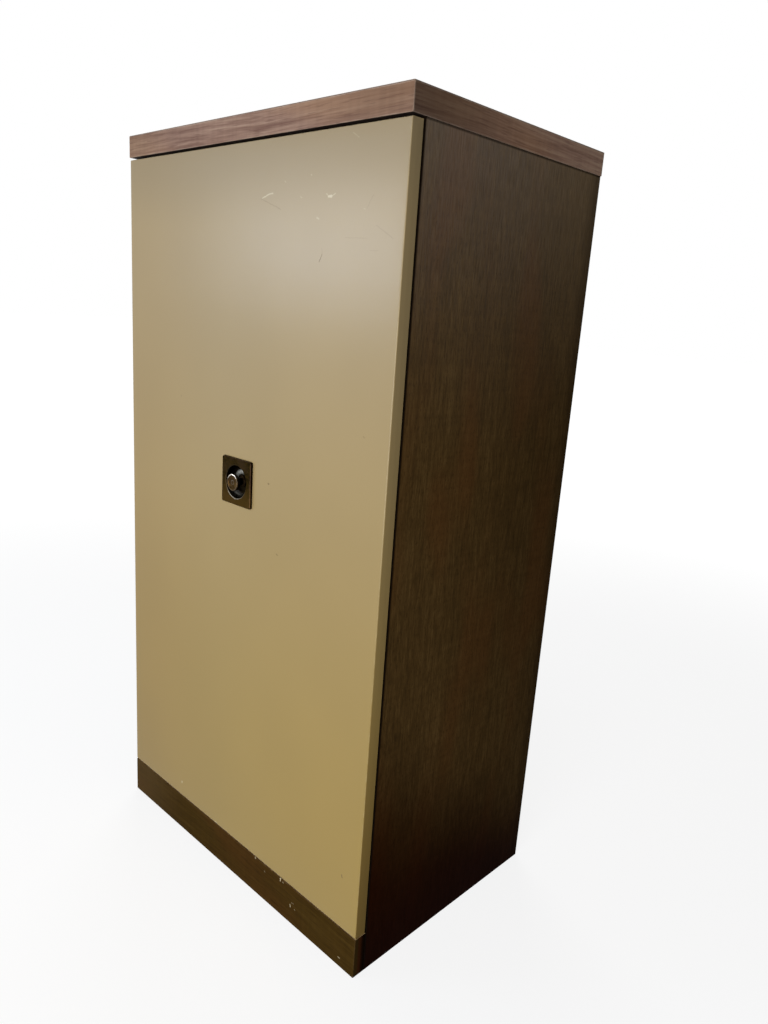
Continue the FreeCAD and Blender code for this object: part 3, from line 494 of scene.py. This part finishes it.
def door_paint(node):
    """Paint on the door, rubbed pale along its edges, with pale and dark marks on its face."""
    low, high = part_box(node)
    g = Graph("door_paint")
    _, y, z = g.parts(g.place)
    front = g.maths("LESS_THAN", y, low.y + 1.2 * MM)
    inside = g.maths("GREATER_THAN", y, high.y - 0.4 * MM)
    ends = on_ends(g, node, 0.3 * MM)
    to_edge = g.edge_gap(low, high)

    cloud = g.noise(g.place, (4, 4, 3), detail=2)
    paint = paint_tone(g, cloud)
    gap = g.shaken(to_edge, g.noise(g.place, 70, detail=3, rough=0.65), -3.0 * MM)
    paint = g.mix(g.span(gap, 0.0, 1.3 * MM, 0.4, 0.0), paint, srgb(182, 164, 122))
    # Painted shade on the door's end faces, darker and less blue towards the floor
    end_shade_tone = g.mix(g.span(z, *END_HEIGHTS), (0.66, 0.6, 0.5, 1.0), (1.04, 1.0, 0.87, 1.0))
    paint = g.mix(ends, paint, g.times(paint, end_shade_tone))
    lowest = g.maths("MULTIPLY", g.span(z, low.z, low.z + 2.2 * MM, 0.5, 0.0), front)
    paint = g.mix(lowest, paint, srgb(190, 172, 132))
    paint = g.mix(inside, paint, g.mix(cloud, srgb(150, 133, 94), srgb(162, 145, 106)))

    place = flattened(g, 2.6 * MM)
    pale = g.maths("MULTIPLY", marks(g, place, PALE_MARKS), front)
    dark = g.maths("MULTIPLY", marks(g, place, DARK_MARKS), front)
    paint = g.mix(pale, paint, srgb(214, 203, 172))
    paint = g.mix(dark, paint, srgb(84, 66, 36))

    rubbed = g.noise(g.place, (5, 5, 16), detail=2)
    rough = g.maths("MAXIMUM", g.vary(rubbed, 0.275, 0.295), g.maths("MULTIPLY", ends, 0.9))
    peel = g.noise(g.place, 420, detail=2)
    roll = g.maths("POWER", g.span(to_edge, 0.0, ROLL_WIDTH, 1.0, 0.0, smooth=False), 2.0)
    height = g.maths("MULTIPLY_ADD", roll, -ROLL_DROP / PAINT_DEPTH, g.maths("MULTIPLY", peel, 0.12))
    height = g.maths("SUBTRACT", height, g.maths("ADD", pale, dark))
    return g.surface(paint, rough, height, depth=PAINT_DEPTH, Specular_IOR_Level=0.27)


def plinth_facing(node):
    """Dark print, paler towards its left end, rubbed along its edges and chipped."""
    wear_and_highlight = edge_worn(node, srgb(96, 76, 48), amount=0.35)

    def finish(g, colour):
        x = g.parts(g.place)[X]
        colour = g.mix(g.span(x, -0.302, -0.12, 0.36, 0.0), colour, srgb(96, 76, 50))
        chips = marks(g, flattened(g, 1.2 * MM), PLINTH_MARKS)
        return g.mix(chips, wear_and_highlight(g, colour), srgb(196, 180, 146))
    return woodgrain(node, X, PLINTH_TONES, seed=11, gain=0.55, shine=0.005, rough=0.5, finish=finish)


# Bare and inner boards, and the pitch of the hardboard's screen pattern
SCREEN_PITCH = 2.4 * MM


def chipboard(node, stain=None, shine=0.2):
    """Pressed chips, whose colour a given function may change before it meets the shader."""
    g = Graph(node)
    flakes = g.noise(g.place, 90, detail=3, rough=0.7)
    cell = g.cells(g.vector("MULTIPLY", g.place, (1, 1, 2.2)), 330.0)
    stops = ((0.25, srgb(132, 100, 62)), (0.5, srgb(178, 146, 104)), (0.8, srgb(206, 178, 136)))
    colour = g.mix(g.span(cell, 0.2, 0.75, 0.0, 0.6), g.ramp(flakes, *stops), srgb(112, 82, 50))
    if stain:
        colour = stain(g, colour)
    height = g.maths("ADD", flakes, cell)
    return g.surface(colour, 0.82, height, depth=0.25 * MM, Specular_IOR_Level=shine)


def plinth_ends(g, colour):
    """Dark streaks on the ends of the plinth's board, which show beside its facing."""
    low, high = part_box("plinth_board")
    streak = g.noise(g.place, (1, 330, 9), detail=2)
    across = g.span(g.parts(g.place)[Y], low.y, high.y, -0.2, 0.8)
    stops = ((0.1, srgb(60, 44, 20)), (0.4, srgb(64, 34, 16)), (0.95, srgb(14, 6, 2)))
    stain = g.ramp(g.maths("MULTIPLY_ADD", streak, 0.4, across), *stops)
    return g.mix(on_ends(g, "plinth_board", 0.5 * MM), colour, stain)


def underside_shade(g, colour):
    """Painted shade: the slab's underside, seen in the gap above the door, coloured near-black."""
    under = g.maths("LESS_THAN", g.parts(g.place)[Z], SLAB_UNDERSIDE + 0.2 * MM)
    return g.mix(under, colour, srgb(30, 18, 11))


def inner_board(node):
    """Plain pale laminate with a fine dimpled texture and slightly soiled edges."""
    low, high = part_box(node)
    g = Graph(node)
    cloud = g.noise(g.place, 6, detail=3)
    fleck = g.noise(g.place, 700, detail=2)
    colour = g.mix(cloud, srgb(182, 158, 120), srgb(192, 169, 132))
    colour = g.mix(g.span(fleck, 0.55, 0.75, 0.0, 0.25), colour, srgb(160, 134, 96))
    cloudy_darker_foot = g.span(g.edge_gap(low, high), 0.0, 6 * MM, 0.3, 0.0)
    colour = g.mix(cloudy_darker_foot, colour, srgb(142, 116, 80))
    return g.surface(colour, g.vary(cloud, 0.42, 0.52), fleck, depth=0.05 * MM)


def hardboard(node):
    """Smooth and brown inside, with the screen pattern on its rear face."""
    low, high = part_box(node)
    g = Graph(node)
    x, y, z = g.parts(g.place)
    fibre = g.noise(g.place, 240, detail=4, rough=0.7)
    cloud = g.noise(g.place, 5, detail=2)
    stops = ((0.3, srgb(88, 60, 36)), (0.5, srgb(112, 80, 50)), (0.75, srgb(134, 100, 66)))
    colour = g.mix(g.span(cloud, 0.35, 0.65, 0.0, 0.35), g.ramp(fibre, *stops), srgb(96, 66, 40))
    rear = g.maths("GREATER_THAN", y, (low.y + high.y) / 2)
    weave = g.maths("MULTIPLY", g.wave(x, SCREEN_PITCH), g.wave(z, SCREEN_PITCH))
    screen = g.maths("MULTIPLY", weave, rear)
    height = g.maths("MULTIPLY_ADD", screen, 0.5, g.maths("MULTIPLY", fibre, 0.3))
    rough = g.span(rear, 0, 1, 0.48, 0.8)
    return g.surface(colour, rough, height, depth=0.22 * MM, Specular_IOR_Level=0.3)


def softwood(node):
    g = Graph(node)
    bands = g.noise(g.place, stretched(Z, 160.0, 7.0), detail=3, bend=0.4)
    stops = ((0.3, srgb(168, 124, 74)), (0.5, srgb(200, 164, 112)), (0.72, srgb(216, 186, 138)))
    return g.surface(g.ramp(bands, *stops), 0.7, bands, depth=0.2 * MM, Specular_IOR_Level=0.25)


# Metals, plastic and rubber
def plated_steel(name, base, spot, rough, brushed):
    """Plated metal with fine brush lines and a few dull spots."""
    g = Graph(name)
    lines = g.noise(g.place, brushed, detail=2)
    tarnish = g.noise(g.place, 190, detail=4, rough=0.7)
    colour = g.mix(g.span(tarnish, 0.5, 0.68, 0.0, 0.75), base, spot)
    dulled = g.span(tarnish, 0.4, 0.7, rough, rough + 0.22)
    return g.surface(colour, dulled, lines, depth=0.015 * MM, Metallic=1.0)


def bronze_plate(name):
    return plated_steel(name, srgb(150, 124, 80), srgb(96, 74, 46), 0.34, (900, 900, 40))


def zinc_plate(name):
    return plated_steel(name, srgb(196, 198, 200), srgb(150, 150, 146), 0.3, 700)


# The tint of what bronze reflects at a flat angle
BRONZE_EDGE = (0.8, 0.72, 0.6, 1.0)


def bronze(node, dark, light):
    """Mottled antique bronze, and each point's arm and distance from the pull's axis."""
    g = Graph(node)
    mottle = g.noise(g.place, 260, detail=4, rough=0.72)
    patina = g.noise(g.place, 60, detail=3)
    arm = g.vector("SUBTRACT", g.vector("MULTIPLY", g.place, FACE_ON), (PULL_X, 0, PULL_Z))
    colour = g.mix(g.span(mottle, 0.38, 0.64), dark, light)
    colour = g.mix(g.span(patina, 0.46, 0.62, 0.0, 0.5), colour, srgb(50, 36, 24))
    return g, colour, mottle, arm, g.vector("LENGTH", arm)


def painted_light_rings(g, arm, radius, rows):
    """Painted highlights and reflections on the bronze, in rings round the pull's axis.

    Each row is a ring's radius and half width in millimetres, its strength, the heading in
    degrees where it is strongest, and its strength on the far side of that.
    """
    rings = []
    for ring, half_width, strength, heading, elsewhere in rows:
        toward = (math.cos(math.radians(heading)), 0, math.sin(math.radians(heading)))
        facing = g.maths("DIVIDE", g.vector("DOT_PRODUCT", arm, toward), radius)
        gap = g.maths("ABSOLUTE", g.maths("SUBTRACT", radius, ring * MM))
        share = g.span(facing, 0.35, 0.97, elsewhere, strength)
        rings.append(g.maths("MULTIPLY", share, g.span(gap, 0.0, half_width * MM, 1.0, 0.0)))
    return g.largest(rings)


# Painted highlights and a painted reflection, in rings on the plate's cup and on the knob, as
# the function above takes them
LIP_RINGS = ((25.3, 0.75, 0.42, 272, 0.03), (22.5, 2.5, 0.12, 276, 0.0))
REFLECTION_RINGS = ((14.5, 4.4, 0.85, 122, 0.0), (21.5, 3.5, 0.1, 258, 0.0))
KNOB_RINGS = ((11.6, 1.2, 1.0, 97, 0.05), (3.2, 0.9, 0.12, 96, 0.06))


def pull_plate(node):
    """Mottled face with painted light and shade, the cup painted near-black with a painted
    reflection.
    """
    g, colour, mottle, arm, radius = bronze(node, srgb(14, 9, 1), srgb(46, 34, 8))
    low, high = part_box(node)
    _, y, z = g.parts(g.place)
    bevel_highlight_gap = g.edge_gap(low, (high.x, low.y + 2 * PLATE_THICK, high.z))
    # Painted light: an olive tone, brighter towards the plate's bottom
    painted_light_low = g.span(z, PULL_Z - 33 * MM, PULL_Z + 12 * MM, 0.55, 0.0)
    colour = g.mix(painted_light_low, colour, srgb(76, 56, 20))
    # Painted highlight on the band round the plate's face
    colour = g.mix(g.span(bevel_highlight_gap, 0.0, 1.3 * MM, 0.45, 0.0), colour, srgb(68, 48, 46))
    # Painted shade, near-black, on the plate's sides and deeper parts
    colour = g.mix(g.span(y, low.y + 1.6 * MM, low.y + 2.6 * MM, 0.0, 0.9), colour, srgb(14, 7, 5))
    # Painted shade: the cup near-black inside
    in_cup = g.span(radius, CUP_RADIUS - 1.0 * MM, CUP_RADIUS, 1.0, 0.0)
    colour = g.mix(in_cup, colour, g.mix(0.9, colour, srgb(4, 3, 3)))
    # Painted highlight on the cup's lip
    colour = g.mix(painted_light_rings(g, arm, radius, LIP_RINGS), colour, srgb(190, 186, 174))
    # Painted reflection: a pale patch in the cup, less metallic there
    painted_reflection = painted_light_rings(g, arm, radius, REFLECTION_RINGS)
    painted_reflection = g.maths("MULTIPLY", painted_reflection, g.span(mottle, 0.35, 0.6, 0.6, 1.0))
    colour = g.mix(painted_reflection, colour, srgb(176, 178, 172))
    rough = g.maths("MULTIPLY_ADD", in_cup, -0.16, g.vary(mottle, 0.36, 0.5))
    metallic = g.maths("MULTIPLY_ADD", painted_reflection, -0.8, 1.0)
    return g.surface(
        colour, rough, mottle, depth=0.04 * MM, Metallic=metallic, Specular_Tint=BRONZE_EDGE
    )


def pull_knob(node):
    """Turned rings in the dished face, a painted highlight atop the rim, painted shade on the barrel.
    """
    g, colour, mottle, arm, radius = bronze(node, srgb(44, 31, 12), srgb(80, 61, 33))
    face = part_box(node)[0].y
    # Painted shade on the knob's barrel behind its face
    barrel_shade = g.span(g.parts(g.place)[Y], face + 1.2 * MM, face + 3.0 * MM, 0.0, 0.85)
    colour = g.mix(barrel_shade, colour, srgb(16, 11, 8))
    # Painted highlight on the rim at the top, and a faint ring in the face
    wear_and_highlight = painted_light_rings(g, arm, radius, KNOB_RINGS)
    colour = g.mix(wear_and_highlight, colour, srgb(250, 242, 230))
    height = g.maths("MULTIPLY_ADD", g.wave(radius, 0.55 * MM), 0.25, mottle)
    rough = g.maths("MULTIPLY_ADD", wear_and_highlight, -0.14, g.vary(mottle, 0.36, 0.5))
    return g.surface(
        colour, rough, height, depth=0.03 * MM, Metallic=1.0, Specular_Tint=BRONZE_EDGE
    )


def plastic(node):
    g = Graph(node)
    grain = g.noise(g.place, 800, detail=2)
    colour = g.mix(grain, srgb(58, 38, 24), srgb(72, 50, 34))
    return g.surface(colour, g.vary(grain, 0.45, 0.58), grain, depth=0.04 * MM)


def magnet_packs(node):
    """Bright pole plates above and below a dark grey magnet, in each of the two catches."""
    low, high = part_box(node)
    g = Graph(node)
    z = g.parts(g.place)[Z]
    grit = g.noise(g.place, 500, detail=3)
    half_height = MAGNET_THICK / 2 + POLE_THICK
    middles = (low.z + half_height, high.z - half_height)
    gaps = [g.maths("ABSOLUTE", g.maths("SUBTRACT", z, middle)) for middle in middles]
    magnet = g.maths("LESS_THAN", g.maths("MINIMUM", *gaps), MAGNET_THICK / 2)
    plates = g.mix(grit, srgb(172, 172, 174), srgb(200, 200, 202))
    colour = g.mix(magnet, plates, g.mix(grit, srgb(40, 40, 42), srgb(58, 58, 60)))
    rough = g.maths("MULTIPLY_ADD", magnet, 0.3, g.vary(grit, 0.3, 0.42))
    metallic = g.maths("SUBTRACT", 1.0, magnet)
    return g.surface(colour, rough, grit, depth=0.02 * MM, Metallic=metallic)


def rubber(node):
    g = Graph(node)
    grain = g.noise(g.place, 600, detail=2)
    colour = g.mix(grain, srgb(196, 190, 176), srgb(206, 200, 186))
    return g.surface(colour, 0.4, grain, depth=0.03 * MM, Subsurface_Weight=0.2)


def dress(names, make, **values):
    """Gives each named CAD node its own material."""
    for name in names:
        material = make(name, **values)
        for slot in nodes[name].material_slots:
            slot.material = material


# Tones of the front and right strips: painted shade near the slab's right front corner, painted light
# away from it
FRONT_TONES = {"corner_shade": grey(0.8), "elsewhere": (1.06, 1.06, 1.04, 1.0)}
RIGHT_TONES = {"corner_shade": (0.56, 0.54, 0.48, 1.0), "elsewhere": (1.28, 1.22, 1.1, 1.0)}

dress(["slab_top_laminate"], slab_top)
dress(["slab_front_edging"], slab_edging, axis=X, seed=1, **FRONT_TONES)
dress(["slab_rear_edging"], slab_edging, axis=X, seed=2)
dress(["slab_left_edging"], slab_edging, axis=Y, seed=5)
dress(["slab_right_edging"], slab_edging, axis=Y, seed=6, **RIGHT_TONES)
dress(["left_side"], case_side, seed=7)
dress(["right_side"], case_side, seed=8)
# Painted shade: the sides' front edges near-black
dress(["left_side_edging", "right_side_edging"], shaded_edging)
dress(["plinth_facing"], plinth_facing)
dress(["door_panel"], door_paint)
# Painted shade under the slab
dress(["slab_core"], chipboard, stain=underside_shade)
dress(["plinth_board"], chipboard, stain=plinth_ends, shine=0.005)
dress(["front_top_rail", "rear_top_rail", "rear_plinth_rail"], chipboard)
dress(["bottom_board"], inner_board)
for shelf in ("lower_shelf", "middle_shelf", "upper_shelf"):
    dress([shelf, shelf + "_edging"], inner_board)
dress(["back_panel"], hardboard)
dress(["plinth_glue_blocks", "case_dowels"], softwood)
for level in ("lower", "middle", "upper"):
    dress([f"{level}_hinge_{piece}" for piece in ("case_leaf", "door_leaf", "pin")], bronze_plate)
dress(["hinge_screws_in_case", "hinge_screws_in_door"], bronze_plate)
dress(["shelf_pins", "catch_screws", "strike_plates", "strike_screws", "slab_screws"], zinc_plate)
dress(["back_panel_nails", "pull_washer", "pull_screw"], zinc_plate)
dress(["pull_plate"], pull_plate)
dress(["pull_knob"], pull_knob)
dress(["catch_housings"], plastic)
dress(["catch_magnet_packs"], magnet_packs)
dress(["door_bumpers"], rubber)


# Floor, world and lamps. The camera sees the floor glow a little over white, and near the
# object a share of it is paper that takes the shadow. Lengths are in metres.
FLOOR_REACH = 30.0
FLOOR_PAPER = 0.92
FLOOR_GLOW = 1.04
SHADOW_FADE = (1.2, 3.2)


def seen_directly(tree):
    """1 for camera, glossy and transmission rays, which see the pale background."""
    path = tree.nodes.new("ShaderNodeLightPath")
    first = tree.nodes.new("ShaderNodeMath")
    second = tree.nodes.new("ShaderNodeMath")
    first.operation = second.operation = "MAXIMUM"
    tree.links.new(path.outputs["Is Camera Ray"], first.inputs[0])
    tree.links.new(path.outputs["Is Glossy Ray"], first.inputs[1])
    tree.links.new(first.outputs[0], second.inputs[0])
    tree.links.new(path.outputs["Is Transmission Ray"], second.inputs[1])
    return second.outputs[0]


def make_world(ambient):
    """White where it is seen directly, and a light of this strength elsewhere."""
    world = bpy.data.worlds.new("studio")
    scene.world = world
    world.use_nodes = True
    tree = world.node_tree
    tree.nodes.clear()
    strength = tree.nodes.new("ShaderNodeMapRange")
    tree.links.new(seen_directly(tree), strength.inputs["Value"])
    strength.inputs["To Min"].default_value = ambient
    strength.inputs["To Max"].default_value = 1.0
    sky = tree.nodes.new("ShaderNodeBackground")
    sky.inputs["Color"].default_value = WHITE
    tree.links.new(strength.outputs[0], sky.inputs["Strength"])
    end = tree.nodes.new("ShaderNodeOutputWorld")
    tree.links.new(sky.outputs[0], end.inputs["Surface"])


def make_floor(bounce, shadow_share):
    """A pale floor that keeps the shadow and fades to the white background.

    bounce is how much light it throws back at the object, shadow_share how much of the
    object's shadow shows.
    """
    mesh = bpy.data.meshes.new("floor")
    corners = [(x * FLOOR_REACH, y * FLOOR_REACH, 0) for x, y in ((-1, -1), (1, -1), (1, 1), (-1, 1))]
    mesh.from_pydata(corners, [], [(0, 1, 2, 3)])
    floor = bpy.data.objects.new("floor", mesh)
    scene.collection.objects.link(floor)
    g = Graph("floor")
    tree = g.tree

    def shader(kind, colour):
        node = g.add(kind)
        node.inputs["Color"].default_value = colour
        return node

    def join(share, first, second):
        node = g.add("ShaderNodeMixShader")
        g.feed(node.inputs[0], share)
        tree.links.new(first.outputs[0], node.inputs[1])
        tree.links.new(second.outputs[0], node.inputs[2])
        return node

    paper = shader("ShaderNodeBsdfDiffuse", grey(FLOOR_PAPER))
    carpet = shader("ShaderNodeBsdfDiffuse", grey(bounce))
    glow = shader("ShaderNodeEmission", WHITE)
    glow.inputs["Strength"].default_value = FLOOR_GLOW
    away = g.vector("LENGTH", g.place)
    shown = join(g.span(away, *SHADOW_FADE, shadow_share, 0.0), glow, paper)
    end = g.add("ShaderNodeOutputMaterial")
    tree.links.new(join(seen_directly(tree), carpet, shown).outputs[0], end.inputs["Surface"])
    mesh.materials.append(g.material)


def soft_light(name, place, aim, size, watts, colour=(1.0, 1.0, 1.0)):
    lamp = bpy.data.lights.new(name, "AREA")
    lamp.shape = "RECTANGLE"
    lamp.size, lamp.size_y = size
    lamp.energy = watts
    lamp.color = colour
    light = bpy.data.objects.new(name, lamp)
    light.location = place
    light.rotation_euler = (Vector(aim) - Vector(place)).to_track_quat("-Z", "Y").to_euler()
    light.visible_camera = False
    scene.collection.objects.link(light)


make_world(ambient=0.2)
make_floor(bounce=0.08, shadow_share=0.2)
soft_light("key", place=(0.9, -2.3, 0.75), aim=(0, -0.2, 0.55), size=(1.5, 1.5), watts=54)
soft_light(
    "sheen", place=(-1.23, -1.55, 1.15), aim=(-1.23, 0, 1.15), size=(1.1, 0.4), watts=13.5,
    colour=(0.74, 0.84, 1.0),
)
soft_light("rear_fill", place=(-2.4, 2.0, 2.2), aim=(0, 0.1, 0.6), size=(2.0, 2.0), watts=45)


def make_camera():
    lens = bpy.data.cameras.new("camera")
    lens.sensor_width = SENSOR
    lens.lens = CAMERA_LENS
    lens.clip_start = CAMERA_NEAREST
    camera = bpy.data.objects.new("camera", lens)
    back = CAMERA_RIGHT.cross(CAMERA_UP)
    turn = Matrix((CAMERA_RIGHT, CAMERA_UP, back)).transposed().to_4x4()
    camera.matrix_world = Matrix.Translation(CAMERA_PLACE) @ turn
    scene.collection.objects.link(camera)
    scene.camera = camera


make_camera()
scene.view_settings.view_transform = "Standard"
